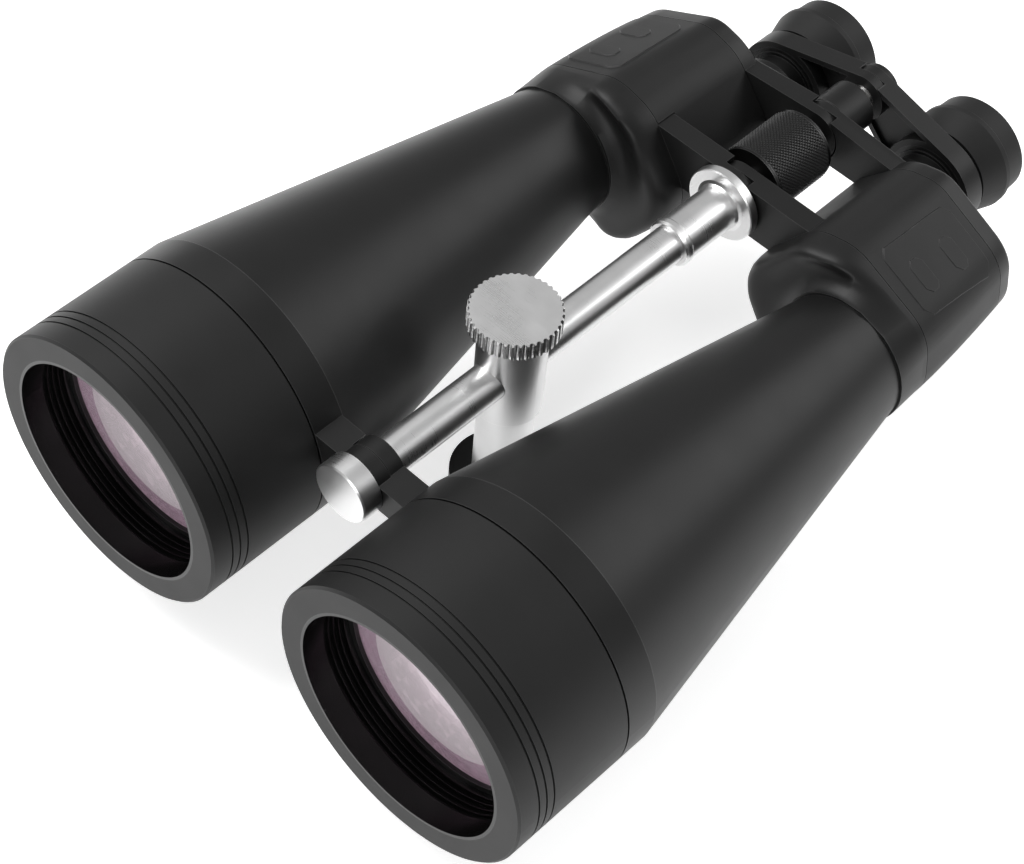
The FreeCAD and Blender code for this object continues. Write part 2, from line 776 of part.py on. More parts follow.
def make_prism(name, ends, start, backwards):
    """A porro prism between two light paths; its long face is at a station."""
    (x1, z1), (x2, z2) = ends
    turn = math.degrees(math.atan2(z2 - z1, x2 - x1))
    wedge = doc.addObject("Part::Wedge", name)
    height = (PRISM_LENGTH - PRISM_RIDGE) / 2
    sizes = {"Xmin": 0, "Xmax": PRISM_LENGTH, "X2min": height, "X2max": height + PRISM_RIDGE,
             "Ymin": 0, "Ymax": height, "Zmin": 0, "Zmax": PRISM_WIDTH, "Z2min": 0, "Z2max": PRISM_WIDTH}
    for prop, size in sizes.items():
        setattr(wedge, prop, size)
    along = Rotation(Vector(0, 1, 0), -turn)
    flip = Rotation(Vector(1, 0, 0), 180 if backwards else 0)
    rotation = along.multiply(flip)
    corner = Vector(PRISM_LENGTH / 2, 0, PRISM_WIDTH / 2)
    middle = Vector((x1 + x2) / 2, station(start).value, (z1 + z2) / 2)
    wedge.Placement = Placement(middle - rotation.multVec(corner), rotation)
    bind(wedge, "Placement.Base.y", station(start))
    return wedge, rotation, middle


def make_prisms():
    """Both prisms, and the spring clips that lie along their ridges."""
    middle = fold_point()
    barrel_axis = (barrel_x.value, barrel_z.value)
    eye_axis = (eye_x.value, eye_z.value)
    height = (PRISM_LENGTH - PRISM_RIDGE) / 2
    plans = [
        ("rear_prism", (barrel_axis, middle), shelf + PLATE_THICKNESS, False),
        ("front_prism", (middle, eye_axis), shelf, True),
    ]
    prisms = []
    clips = []
    for name, ends, start, backwards in plans:
        wedge, rotation, centre = make_prism(name, ends, start, backwards)
        clip = doc.addObject("Part::Box", f"{name}_clip")
        clip.Length = PRISM_RIDGE
        clip.Width = CLIP_THICKNESS
        clip.Height = PRISM_WIDTH
        corner = Vector(PRISM_RIDGE / 2, -height, PRISM_WIDTH / 2)
        clip.Placement = Placement(centre - rotation.multVec(corner), rotation)
        clips.append(clip)
        prisms.append(wedge)
    group = doc.addObject("Part::Compound", "prism_clips")
    group.Links = clips
    return prisms, group


# Eyepiece bridge and eyepieces.

def belt(sketch, first, second, inset):
    """A closed line round two circles, each (x, height, radius), moved in by an inset."""
    x1, y1, r1 = first[0], first[1], first[2] - inset
    x2, y2, r2 = second[0], second[1], second[2] - inset
    a = Vector(Size.of(x1).value, Size.of(y1).value, 0)
    b = Vector(Size.of(x2).value, Size.of(y2).value, 0)
    along = (b - a).normalize()
    lean = (r1.value - r2.value) / (b - a).Length
    across = Vector(-along.y, along.x, 0) * math.sqrt(1 - lean ** 2)
    left = along * lean + across
    right = along * lean - across
    start = math.atan2(left.y, left.x)
    end = math.atan2(right.y, right.x)
    normal = Vector(0, 0, 1)
    sketch.addGeometry(Part.ArcOfCircle(Part.Circle(a, normal, r1.value), start, end))
    sketch.addGeometry(Part.LineSegment(a + right * r1.value, b + right * r2.value))
    sketch.addGeometry(Part.ArcOfCircle(Part.Circle(b, normal, r2.value), end, start))
    sketch.addGeometry(Part.LineSegment(b + left * r2.value, a + left * r1.value))
    for edge in range(4):
        sketch.addConstraint(Sketcher.Constraint("Tangent", edge, 2, (edge + 1) % 4, 1))
    for edge, (x, y, radius) in ((0, (x1, y1, r1)), (2, (x2, y2, r2))):
        number = sketch.addConstraint(Sketcher.Constraint("Radius", edge, radius.value))
        sketch.setExpression(f"Constraints[{number}]", radius.text)
        for kind, axis, size in (("DistanceX", -2, Size.of(x)), ("DistanceY", -1, Size.of(y))):
            if abs(size.value) < 1e-9:
                sketch.addConstraint(Sketcher.Constraint("PointOnObject", edge, 3, axis))
            else:
                number = sketch.addConstraint(Sketcher.Constraint(kind, -1, 1, edge, 3, size.value))
                sketch.setExpression(f"Constraints[{number}]", size.text)


def make_arm(name, own, other):
    """An eyepiece arm: a channel, open to the front, from the bridge knuckle to the eyepiece ring."""
    knuckle = (0, hinge_z, s.arm_knuckle_radius)
    eyepiece = (eye_x, eye_z, s.arm_ring_radius)
    body = doc.addObject("PartDesign::Body", f"{name}_channel")
    outer = body_sketch(body, f"{name}_outer", "XZ_Plane")
    belt(outer, knuckle, eyepiece, 0)
    pad = body.newObject("PartDesign::Pad", f"{name}_pad")
    pad.Profile = outer
    pad.Reversed = True
    bind(pad, "Length", s.arm_width)
    inner = body_sketch(body, f"{name}_inner", "XZ_Plane")
    belt(inner, knuckle, eyepiece, s.arm_wall)
    pocket = body.newObject("PartDesign::Pocket", f"{name}_pocket")
    pocket.Profile = inner
    pocket.Reversed = False
    bind(pocket, "Length", s.arm_width - s.arm_web)
    place(body, 0, station(s.bridge_front), 0)
    ring_wall = rod(f"{name}_ring", s.arm_ring_radius, s.bridge_front, s.arm_width, eye_x, eye_z)
    boss = rod(f"{name}_boss", s.arm_knuckle_radius, own[0], own[1], 0, hinge_z)
    solid = fused(f"{name}_solid", [body, ring_wall, boss])
    bore = rod(f"{name}_ring_bore", s.ring_bore, s.bridge_front, s.arm_width, eye_x, eye_z)
    pin_bore = rod(f"{name}_pin_bore", s.axle_radius + s.fit, s.bridge_front, s.arm_width, 0, hinge_z)
    slot = room_for(other)
    room = rod(f"{name}_room", s.arm_knuckle_radius + s.seam_gap * 2, slot[0], slot[1], 0, hinge_z)
    relief = block(f"{name}_relief", 0, slot[0], hinge_z, s.arm_relief, slot[1], s.arm_relief)
    relief.Placement.Rotation = Rotation(Vector(0, 1, 0), 180 - ARM_RELIEF_ANGLE)
    return cut(name, solid, bore, pin_bore, room, relief)


def make_guide():
    """The tube on the rear cover that the eyepiece slides in."""
    start = s.cover_front
    end = start + s.guide_length
    bore = s.draw_tube_radius + s.fit
    flange_end = s.cover_rear + s.guide_flange_width
    profile = [(bore, start), (s.guide_radius, start), (s.guide_radius, s.cover_rear)]
    profile += [(s.guide_flange_radius, s.cover_rear), (s.guide_flange_radius, flange_end - s.guide_flange_edge)]
    profile += [(s.guide_radius, flange_end), (s.guide_radius, end), (bore, end)]
    return turned("guide_tube", profile, eye_x, eye_z)


def make_collar():
    """The collar in the eyepiece ring; on the right it is the dioptre ring."""
    bore = s.ocular_radius + s.fit
    start = s.bridge_front
    arm_rear = start + s.arm_width
    seat = s.ring_bore - s.fit
    profile = [(bore, start), (seat, start), (seat, arm_rear + s.hinge_gap)]
    profile += [(s.collar_rim_radius, arm_rear + s.hinge_gap), (s.collar_rim_radius, arm_rear + s.collar_width)]
    profile += [(bore, arm_rear + s.collar_width)]
    return turned("eyepiece_collar", profile, eye_x, eye_z)


def make_ocular():
    """The eyepiece barrel: draw tube in front, ocular behind, with a seat for each lens."""
    neck = s.bridge_front - s.ocular_neck_gap
    field_end = s.field_lens_front + s.field_lens_thickness
    profile = [(s.ocular_bore, field_end), (s.ocular_seat, field_end), (s.ocular_seat, s.draw_tube_start)]
    profile += [(s.draw_tube_radius, s.draw_tube_start), (s.draw_tube_radius, neck)]
    profile += [(s.ocular_radius, neck), (s.ocular_radius, s.ocular_end), (s.ocular_seat, s.ocular_end)]
    profile += [(s.ocular_seat, s.eye_lens_front), (s.ocular_bore, s.eye_lens_front)]
    return turned("eyepiece_barrel", profile, eye_x, eye_z)


def make_eyecup():
    """The rubber eyecup: it widens to a step, and its skirt covers the collar."""
    skirt = s.collar_rim_radius + s.seam_gap
    seat = s.ocular_radius
    skirt_end = s.cup_front + s.cup_skirt_depth
    mouth_start = s.ocular_end
    profile = [(skirt, s.cup_front), (s.cup_front_radius, s.cup_front)]
    lip_bore = seat - s.cup_seat_lip
    edge = s.cup_end_round
    profile += [(s.cup_lip_radius, s.cup_lip_station - s.cup_lip_land), (s.cup_lip_radius, s.cup_lip_station)]
    profile += [(s.cup_lip_radius - s.cup_lip_step, s.cup_lip_station + s.cup_lip_step)]
    profile += [(s.cup_end_radius, s.overall_length - edge), (s.cup_end_radius - edge, s.overall_length)]
    profile += [(s.cup_mouth_radius, s.overall_length), (lip_bore, mouth_start + s.cup_seat_lip_width)]
    profile += [(lip_bore, mouth_start), (seat, mouth_start), (seat, skirt_end), (skirt, skirt_end)]
    return turned("eyecup", profile, eye_x, eye_z)


# Build both halves.

band_slots = knuckle_slots(s.hood_length + s.seam_gap / 2, s.band_width - s.seam_gap)
lug_slots = knuckle_slots(s.housing_seam, s.front_lug_width)
cover_slots = knuckle_slots(s.cover_front, s.cover_thickness)
arm_slots = knuckle_slots(s.bridge_front, s.arm_width)

pair("hood", make_hood())
pair("lens_cell", make_lens_cell())
crown_lens, flint_lens, lens_end = make_lens()
pair("crown_lens", crown_lens)
pair("flint_lens", flint_lens)
retainer_inner = s.lens_radius - s.retainer_width
pair("lens_retainer", ring("lens_retainer", retainer_inner, s.lens_radius, lens_end, s.retainer_length,
                           barrel_x, barrel_z))
pair("barrel", make_barrel())
pair("armour", make_armour())
pair("guide_tube", make_guide())
pair("prism_plate", make_prism_plate())
(rear_prism, front_prism), prism_clips = make_prisms()
pair("rear_prism", rear_prism)
pair("front_prism", front_prism)
pair("prism_clips", prism_clips)
pair("cover_screws", make_cover_screws())
pair("eyepiece_barrel", make_ocular())
pair("eyecup", make_eyecup())
eyepiece_collar = node("left_eyepiece_collar", make_collar())
mirrored("right_dioptre_ring", eyepiece_collar)
eye_lens = rod("eye_lens", s.ocular_seat - s.fit, s.eye_lens_front, s.eye_lens_thickness, eye_x, eye_z)
pair("eye_lens", eye_lens)
field_lens = rod("field_lens", s.ocular_seat - s.fit, s.field_lens_front, s.field_lens_thickness, eye_x, eye_z)
pair("field_lens", field_lens)

# Pieces with a knuckle: the right half takes the front place on each line, the left half the rear.
knuckled = [
    ("brace_band", make_brace_band, band_slots),
    ("prism_housing", make_housing, lug_slots),
    ("rear_cover", make_rear_cover, cover_slots),
    ("eyepiece_arm", make_arm, arm_slots),
]
for piece, make, (front_slot, rear_slot) in knuckled:
    node(f"left_{piece}", make(piece, rear_slot, front_slot))
    mirrored(f"right_{piece}", make(f"{piece}_for_right", front_slot, rear_slot))


# Centre pieces.

def make_end_cap():
    """The bright cap on the front end of the bar, with a hole for its screw."""
    start = s.end_cap_front
    end = s.hood_length - s.seam_gap / 2
    floor = start + s.end_cap_face
    bore = s.bar_radius + s.fit
    edge = s.end_cap_edge
    profile = [(0, start), (s.end_cap_radius - edge, start), (s.end_cap_radius, start + edge)]
    profile += [(s.end_cap_radius, end), (bore, end), (bore, floor), (0, floor)]
    cap = turned("end_cap_turned", profile, 0, hinge_z)
    middle = station((floor + end) / 2)
    low = hinge_z - s.end_cap_radius - s.cap_screw_stand
    hole = post("end_cap_hole", s.cap_screw_radius + s.fit, low, s.end_cap_radius + s.cap_screw_stand, middle)
    length = hinge_z - s.bar_radius - s.fit - low
    screw = post("cap_screw", s.cap_screw_radius, low, length, middle)
    return cut("end_cap", cap, hole), screw


def make_sleeve():
    """The flanged sleeve that joins the bar to the hinge, with a bead at its mouth."""
    bore = s.bar_radius + s.fit
    narrow = s.axle_radius + s.fit
    floor = s.sleeve_front + s.sleeve_bore_depth
    bead_end = s.sleeve_front + s.sleeve_bead_width
    end = s.flange_front + s.flange_width
    fillet = s.sleeve_fillet
    fillet_middle = s.sleeve_bead_step
    bead = s.sleeve_bead_edge
    edge = s.flange_edge
    profile = [(bore, s.sleeve_front), (s.sleeve_bead_radius - bead, s.sleeve_front)]
    profile += [(s.sleeve_bead_radius, s.sleeve_front + bead), (s.sleeve_bead_radius, bead_end - bead)]
    profile += [(s.sleeve_radius, bead_end), (s.sleeve_radius, s.flange_front - fillet)]
    profile += [(s.sleeve_radius + fillet_middle, s.flange_front - fillet_middle)]
    profile += [(s.sleeve_radius + fillet, s.flange_front)]
    profile += [(s.flange_radius - edge, s.flange_front), (s.flange_radius, s.flange_front + edge)]
    profile += [(s.flange_radius, end - edge), (s.flange_radius - edge, end), (narrow, end)]
    profile += [(narrow, floor), (bore, floor)]
    return turned("flange_sleeve", profile, 0, hinge_z)


bar_start = s.end_cap_front + s.end_cap_face + s.fit
bar_end = s.sleeve_front + s.sleeve_bore_depth - s.fit
front_axle_end = s.wheel_front + s.axle_into_wheel - s.axle_end_gap


def make_hub():
    """The rear hub: an axle through the rear knuckles and a smooth boss that guides the spindle."""
    bore = s.spindle_radius + s.fit
    start = s.wheel_end - s.axle_into_wheel + s.axle_end_gap
    face = s.cover_rear + s.hinge_gap
    edge = s.hub_edge
    rear_edge = edge * 2
    profile = [(bore, start), (s.axle_radius, start), (s.axle_radius, face), (s.hub_radius - edge, face)]
    profile += [(s.hub_radius, face + edge), (s.hub_radius, s.hub_end - rear_edge)]
    profile += [(s.hub_radius - rear_edge, s.hub_end)]
    profile += [(bore, s.hub_end)]
    return turned("rear_hub", profile, 0, hinge_z)


def make_wheel_core():
    """The focus wheel's core: a rim at each end, journals for the axles and the spindle's thread."""
    drum = s.wheel_radius - s.grip_thickness
    journal = s.axle_radius + s.fit
    thread = s.spindle_radius + s.fit
    rim = s.wheel_rim_width
    profile = [(journal, s.wheel_front), (s.wheel_rim_radius, s.wheel_front)]
    profile += [(s.wheel_rim_radius, s.wheel_front + rim), (drum, s.wheel_front + rim)]
    profile += [(drum, s.wheel_end - rim), (s.wheel_rim_radius, s.wheel_end - rim)]
    profile += [(s.wheel_rim_radius, s.wheel_end), (journal, s.wheel_end), (journal, s.wheel_end - s.axle_into_wheel)]
    profile += [(thread, s.wheel_end - s.axle_into_wheel), (thread, s.wheel_front + s.axle_into_wheel)]
    profile += [(journal, s.wheel_front + s.axle_into_wheel)]
    return turned("focus_wheel_core", profile, 0, hinge_z)


def make_spindle():
    """The focus spindle: its thread end is in the wheel and its pin carries both eyepiece arms."""
    shoulder = s.bridge_front - s.hinge_gap
    end = s.bridge_rear + s.hinge_gap
    profile = [(0, s.spindle_start), (s.spindle_radius, s.spindle_start), (s.spindle_radius, shoulder)]
    profile += [(s.axle_radius, shoulder), (s.axle_radius, end), (0, end)]
    return turned("focus_spindle", profile, 0, hinge_z)


node("brace_bar", rod("brace_bar", s.bar_radius, bar_start, bar_end - bar_start, 0, hinge_z))
end_cap, cap_screw = make_end_cap()
node("end_cap", end_cap)
node("cap_screw", cap_screw)
node("flange_sleeve", make_sleeve())
axle_length = front_axle_end - s.front_axle_start
node("front_axle", rod("front_axle", s.axle_radius, s.front_axle_start, axle_length, 0, hinge_z))
node("rear_hub", make_hub())
node("focus_wheel_core", make_wheel_core())
grip_inner = s.wheel_radius - s.grip_thickness + s.fit
grip_start = s.wheel_front + s.wheel_rim_width + s.fit
grip_length = s.wheel_length - (s.wheel_rim_width + s.fit) * 2
node("focus_wheel_grip", ring("focus_wheel_grip", grip_inner, s.wheel_radius, grip_start, grip_length, 0, hinge_z))
node("focus_spindle", make_spindle())
node("bridge_cap", rod("bridge_cap", s.bridge_cap_radius, s.bridge_rear + s.hinge_gap, s.bridge_cap_length, 0, hinge_z))


# Tripod post.

post_y = station(s.post_station)
head_top = hinge_z + s.post_head_above
head_bottom = hinge_z - s.post_head_below
foot_bottom = s.foot_clearance
foot_top = foot_bottom + s.foot_thickness
pad_bottom = hinge_z + s.bar_radius + s.fit
screw_tip = pad_bottom + s.clamp_pad_thickness


def make_post():
    """The post: a thick head with a cross hole for the bar, and a thinner leg below it."""
    head = post("post_head", s.post_head_radius, head_bottom, head_top - head_bottom, post_y)
    leg = post("post_leg", s.post_radius, foot_top, head_bottom - foot_top, post_y)
    solid = fused("post_solid", [head, leg])
    reach = s.post_head_radius * 2
    cross = rod("post_cross_hole", s.bar_radius + s.fit, s.post_station - reach, reach * 2, 0, hinge_z)
    thread = post("post_thread", s.clamp_screw_radius + s.fit, hinge_z, head_top - hinge_z, post_y)
    recess = s.insert_length - s.foot_thickness
    socket = post("post_socket", s.insert_radius + s.fit, foot_top, recess, post_y)
    return cut("post_body", solid, cross, thread, socket)


def make_foot():
    """The black foot disc, bored for the tripod insert."""
    disc = post("foot_disc", s.foot_radius, foot_bottom, s.foot_thickness, post_y)
    bore = post("foot_bore", s.insert_radius + s.fit, foot_bottom, s.foot_thickness, post_y)
    return cut("post_foot", disc, bore)


def make_insert():
    """The brass insert with the blind tripod thread, open at the bottom."""
    blank = post("insert_blank", s.insert_radius, foot_bottom, s.insert_length, post_y)
    thread = post("insert_thread", s.tripod_thread_radius, foot_bottom, s.tripod_thread_depth, post_y)
    return cut("tripod_insert", blank, thread)


def make_thumb_screw():
    """The fluted thumbscrew that clamps the post to the bar."""
    body = doc.addObject("PartDesign::Body", "thumb_screw")
    under = head_top + s.knob_gap - screw_tip
    shaft = body_sketch(body, "screw_profile", "XZ_Plane")
    top = under + s.knob_thickness
    edge = s.knob_edge
    inner = s.knob_radius - edge
    boss = under - s.knob_gap + s.knob_shank_gap
    closed_outline(shaft, [
        (0, 0), (s.clamp_screw_radius, 0), (s.clamp_screw_radius, boss), (s.knob_boss_radius, boss),
        (s.knob_boss_radius, under), (inner, under), (s.knob_radius, under + edge),
        (s.knob_radius, top - edge), (inner, top), (0, top),
    ])
    turn = body.newObject("PartDesign::Revolution", "screw_turn")
    turn.Profile = shaft
    turn.ReferenceAxis = (shaft, ["V_Axis"])
    turn.Angle = 360
    flute_sketch = body_sketch(body, "flute_profile", "XY_Plane")
    centre = Vector(s.knob_radius.value, 0, 0)
    flute_sketch.addGeometry(Part.Circle(centre, Vector(0, 0, 1), s.knob_flute_radius.value))
    flute_sketch.addConstraint(Sketcher.Constraint("PointOnObject", 0, 3, -1))
    across = flute_sketch.addConstraint(Sketcher.Constraint("DistanceX", -1, 1, 0, 3, s.knob_radius.value))
    flute_sketch.setExpression(f"Constraints[{across}]", s.knob_radius.text)
    round_ = flute_sketch.addConstraint(Sketcher.Constraint("Radius", 0, s.knob_flute_radius.value))
    flute_sketch.setExpression(f"Constraints[{round_}]", s.knob_flute_radius.text)
    flute = body.newObject("PartDesign::Pocket", "flute")
    flute.Profile = flute_sketch
    flute.Reversed = True
    bind(flute, "Length", top * 2)
    pattern = body.newObject("PartDesign::PolarPattern", "flutes")
    pattern.Originals = [flute]
    pattern.Axis = (flute_sketch, ["N_Axis"])
    pattern.Angle = 360
    pattern.Occurrences = KNOB_FLUTES
    body.Tip = pattern
    return place(body, 0, post_y, screw_tip)


node("post_body", make_post())
node("post_foot", make_foot())
node("tripod_insert", make_insert())
node("clamp_pad", post("clamp_pad", s.clamp_screw_radius, pad_bottom, s.clamp_pad_thickness, post_y))
node("thumb_screw", make_thumb_screw())

doc.recompute()

# Nothing is written until every object is sound.
faults = [thing.Name for thing in doc.Objects if "Invalid" in thing.State or "Error" in thing.State]
if faults:
    raise RuntimeError(f"objects that failed: {faults}")
for piece in nodes:
    if piece.Shape.isNull() or not piece.Shape.isValid() or piece.Shape.Volume <= 0:
        raise RuntimeError(f"unsound shape: {piece.Label}")

os.makedirs("parts", exist_ok=True)
for piece in nodes:
    piece.Shape.exportStep(f"parts/{piece.Label}.step")
print(f"wrote {len(nodes)} sub-parts")
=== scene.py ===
# %% [markdown]
# # A pair of large binoculars, in cells
# The shapes of this object come from a imported CAD model, which stands in metres with its
# front at -Y, its eyepieces at +Y and up at +Z. Each CAD node is one real piece. It could
# all be modelled again here, but then nothing would be sure to fit or to move, so the CAD
# nodes stay where they are. This lesson gives them their finishes, and models again only
# the pieces whose surface has more in it than the CAD shape: the knurled grip, the moulded
# rubber, and the prism housings with their covers and screws. The box of the CAD model is
# kept, and the floor and the lights are placed by it.

# %% Load the frame
import json
import math

import bpy
import bmesh
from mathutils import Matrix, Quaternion, Vector


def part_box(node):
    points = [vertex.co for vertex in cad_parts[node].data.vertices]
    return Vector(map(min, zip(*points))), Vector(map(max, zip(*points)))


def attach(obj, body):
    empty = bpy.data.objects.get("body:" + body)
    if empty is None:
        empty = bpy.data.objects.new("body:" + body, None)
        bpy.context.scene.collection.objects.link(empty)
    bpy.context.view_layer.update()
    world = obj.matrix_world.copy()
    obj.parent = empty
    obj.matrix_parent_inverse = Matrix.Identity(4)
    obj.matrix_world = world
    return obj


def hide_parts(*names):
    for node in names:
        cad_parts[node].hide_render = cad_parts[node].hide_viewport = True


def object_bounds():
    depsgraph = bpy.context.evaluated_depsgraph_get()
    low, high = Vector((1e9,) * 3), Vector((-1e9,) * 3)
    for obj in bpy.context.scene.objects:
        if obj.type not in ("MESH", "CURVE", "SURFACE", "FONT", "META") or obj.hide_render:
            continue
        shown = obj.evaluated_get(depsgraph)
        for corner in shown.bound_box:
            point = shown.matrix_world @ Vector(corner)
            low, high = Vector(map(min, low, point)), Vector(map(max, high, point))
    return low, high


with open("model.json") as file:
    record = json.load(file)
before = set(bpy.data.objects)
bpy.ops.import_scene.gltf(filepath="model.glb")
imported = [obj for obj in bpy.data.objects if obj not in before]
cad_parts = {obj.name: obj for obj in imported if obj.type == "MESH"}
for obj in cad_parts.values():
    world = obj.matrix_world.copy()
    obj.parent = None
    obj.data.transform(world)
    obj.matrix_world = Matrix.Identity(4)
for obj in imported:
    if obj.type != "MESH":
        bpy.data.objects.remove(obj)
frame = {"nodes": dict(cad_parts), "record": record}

cad_low, cad_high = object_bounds()
nodes = frame["nodes"]
SIDES = ("left", "right")
MM = 0.001
print("CAD nodes:", len(nodes), "size in mm:", [round(v / MM, 1) for v in cad_high - cad_low])


# %% [markdown]
# ## A small language for finishes
# A finish is a graph of shader nodes. It could be wired by hand, one link at a time, but
# then the idea is lost among the links. Here one class wraps an output socket, so that
# `1 - wear` or `grain * 0.3` is written as a sum and adds its Math node, and one method
# adds any other node from its type, its settings and its inputs.

# %% The wire class
def wire_or_number(tree, value, socket):
    if isinstance(value, Wire):
        tree.links.new(value.socket, socket)
    else:
        socket.default_value = value


class Wire:
    """An output socket that can be used in a sum."""

    def __init__(self, tree, socket=None):
        self.tree = tree
        self.socket = socket

    def add(self, kind, settings=None, inputs=None, output=0):
        node = self.tree.nodes.new(kind)
        for name, value in (settings or {}).items():
            setattr(node, name, value)
        for name, value in (inputs or {}).items():
            wire_or_number(self.tree, value, node.inputs[name])
        return Wire(self.tree, node.outputs[output])

    def maths(self, operation, first, second=0.0):
        return self.add("ShaderNodeMath", {"operation": operation}, {0: first, 1: second})

    def __add__(self, other):
        return self.maths("ADD", self, other)

    def __mul__(self, other):
        return self.maths("MULTIPLY", self, other)

    def __sub__(self, other):
        return self.maths("SUBTRACT", self, other)

    def __rsub__(self, other):
        return self.maths("SUBTRACT", other, self)

    __radd__ = __add__
    __rmul__ = __mul__

    def blend(self, low, high):
        """Two colours mixed by this mask."""
        return self.add(
            "ShaderNodeMix",
            {"data_type": "RGBA"},
            {"Factor": self, "A": low, "B": high},
            "Result",
        )


print("a wire can be added, subtracted and multiplied, and can blend two colours")


# %% [markdown]
# ## What every finish has
# Real paint, rubber and metal are never one flat colour. Each has a fine grain that
# breaks up its highlights, slow patches where it is a little more or less shiny, and edges
# that hands and cases have rubbed brighter. One function makes these three for every
# finish here. The grain is a noise in Object coordinates, because each object sits at the
# origin and its mesh never slides. The rubbed edges come from the Bevel node: where the
# rounded normal leaves the true one, there is an edge.

# %% Parts of a finish
def new_look(name):
    look = bpy.data.materials.new(name)
    look.use_nodes = True
    shader = look.node_tree.nodes["Principled BSDF"]
    start = Wire(look.node_tree)
    place = start.add("ShaderNodeTexCoord", output="Object")
    return look, shader, place


def noise(place, per_mm, detail=3.0, rough=0.55):
    return place.add(
        "ShaderNodeTexNoise",
        inputs={"Vector": place, "Scale": per_mm / MM, "Detail": detail, "Roughness": rough},
    )


def edge_wear(place, radius, sharpness):
    """1 on an outer edge that has been rubbed, 0 on a flat face."""
    rounded = place.add("ShaderNodeBevel", {"samples": 4}, {"Radius": radius})
    true_normal = place.add("ShaderNodeNewGeometry", output="Normal")
    match = place.add(
        "ShaderNodeVectorMath",
        {"operation": "DOT_PRODUCT"},
        {0: rounded, 1: true_normal},
        "Value",
    )
    patches = noise(place, 0.35) * 1.2
    worn = (1 - match) * sharpness * patches
    return worn.add("ShaderNodeClamp", inputs={"Value": worn})


def bump(place, height, depth):
    inputs = {"Height": height, "Distance": depth, "Strength": 1.0}
    return place.add("ShaderNodeBump", inputs=inputs)


def grey(value, warmth=0.0):
    return (value * (1 + warmth), value, value * (1 - warmth), 1)


print("helpers: new_look, noise, edge_wear, bump, grey")

# %% One function for the solid finishes
looks = {}


def solid_look(
    name, dark, light, worn, rough, rough_swing, grain_per_mm, grain_depth, metal=0.0,
    shine=0.5, wear=22.0, edge=0.35 * MM, inside=None,
):
    look, shader, place = new_look(name)
    patches = noise(place, 0.06, 4.0)
    grain = noise(place, grain_per_mm, 2.0, 0.6)
    rubbed = edge_wear(place, edge, wear)
    colour = rubbed.blend((patches * 0.7 + grain * 0.3).blend(dark, light), worn)
    smooth_inside = 0.0
    if inside:
        # Inside the hood the colour goes near-black: partly a blackened lining, partly painted shade in
        # the recess.
        lining_and_shade_mask = inside(place)
        colour = lining_and_shade_mask.blend(colour, grey(0.002))
        smooth_inside = lining_and_shade_mask * (rough * 0.55)
    wire_or_number(look.node_tree, colour, shader.inputs["Base Color"])
    roughness = rough - rough_swing + patches * (2 * rough_swing)
    roughness = roughness - rubbed * (rough * 0.25) - smooth_inside
    wire_or_number(look.node_tree, roughness, shader.inputs["Roughness"])
    wire_or_number(look.node_tree, bump(place, grain, grain_depth), shader.inputs["Normal"])
    shader.inputs["Metallic"].default_value = metal
    shader.inputs["Specular IOR Level"].default_value = shine
    looks[name] = look
    return look


print("solid_look is ready")

# %% [markdown]
# ## Paint and rubber
# The tubes are alloy with a satin black powder paint: very fine grain, a soft broad
# highlight. The hoods are the same alloy with a duller, slightly greyer paint. The skin
# round the prism housings is smooth rubber, and the eyecups are a softer one. They could
# share one black, but side by side on a real pair they differ, so each has its own depth,
# grain and gloss.

# %% Paint and rubber
def off_axis(place, axis):
    """How far a point is from the axis of the nearer tube."""
    apart = place.add("ShaderNodeSeparateXYZ", inputs={"Vector": place})
    across = apart.maths("ABSOLUTE", apart) - abs(axis.x)
    up = Wire(place.tree, apart.socket.node.outputs["Z"]) - axis.z
    square = across * across + up * up
    return square.maths("SQRT", square)


def hood_lining_and_painted_shade(place):
    """1 inside either hood, which is blackened against stray light; the darkness there is partly
    painted shade in the hollow.
    """
    low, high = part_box("left_hood")
    mouth = (high.x - low.x) / 2 - 9.0 * MM
    step = (mouth - off_axis(place, (low + high) / 2)) * 4000.0
    return step.add("ShaderNodeClamp", inputs={"Value": step})


DULL = {"rough": 0.52, "rough_swing": 0.05}
# The hood paint is near-black inside the hood: a blackened lining and painted shade in the hollow.
solid_look("hood_paint", grey(0.009), grey(0.013), grey(0.03), **DULL, grain_per_mm=3.2,
           grain_depth=0.006 * MM, shine=0.26, wear=9.0, inside=hood_lining_and_painted_shade)
solid_look("body_paint", grey(0.007), grey(0.010), grey(0.05), 0.42, 0.05, 2.6, 0.008 * MM, shine=0.28)
solid_look("armour_rubber", grey(0.009), grey(0.013), grey(0.03), 0.50, 0.06, 2.0, 0.014 * MM,
           shine=0.27)
solid_look("cup_rubber", grey(0.010), grey(0.015), grey(0.03), 0.55, 0.05, 1.8, 0.016 * MM, shine=0.26)
solid_look("grip_rubber", grey(0.010), grey(0.016), grey(0.03), 0.45, 0.05, 2.4, 0.010 * MM, shine=0.32)
solid_look("foot_plastic", grey(0.010), grey(0.015), grey(0.04), 0.45, 0.06, 2.2, 0.012 * MM,
           shine=0.32)
solid_look("nylon", grey(0.74), grey(0.84), grey(0.9), 0.45, 0.05, 1.5, 0.010 * MM, shine=0.4)
print("paint and rubber:", sorted(looks))

# %% [markdown]
# ## Metals
# The brace bar, its cap, sleeve and flange have a satin chrome, with faint
# turning lines that stretch the highlights along the bar. The lines run round the bar, so
# they are a noise squeezed along Y. The post and the thumbscrew have a duller chrome. The
# blacks here are anodised or blued, and show bright metal where an edge is rubbed.

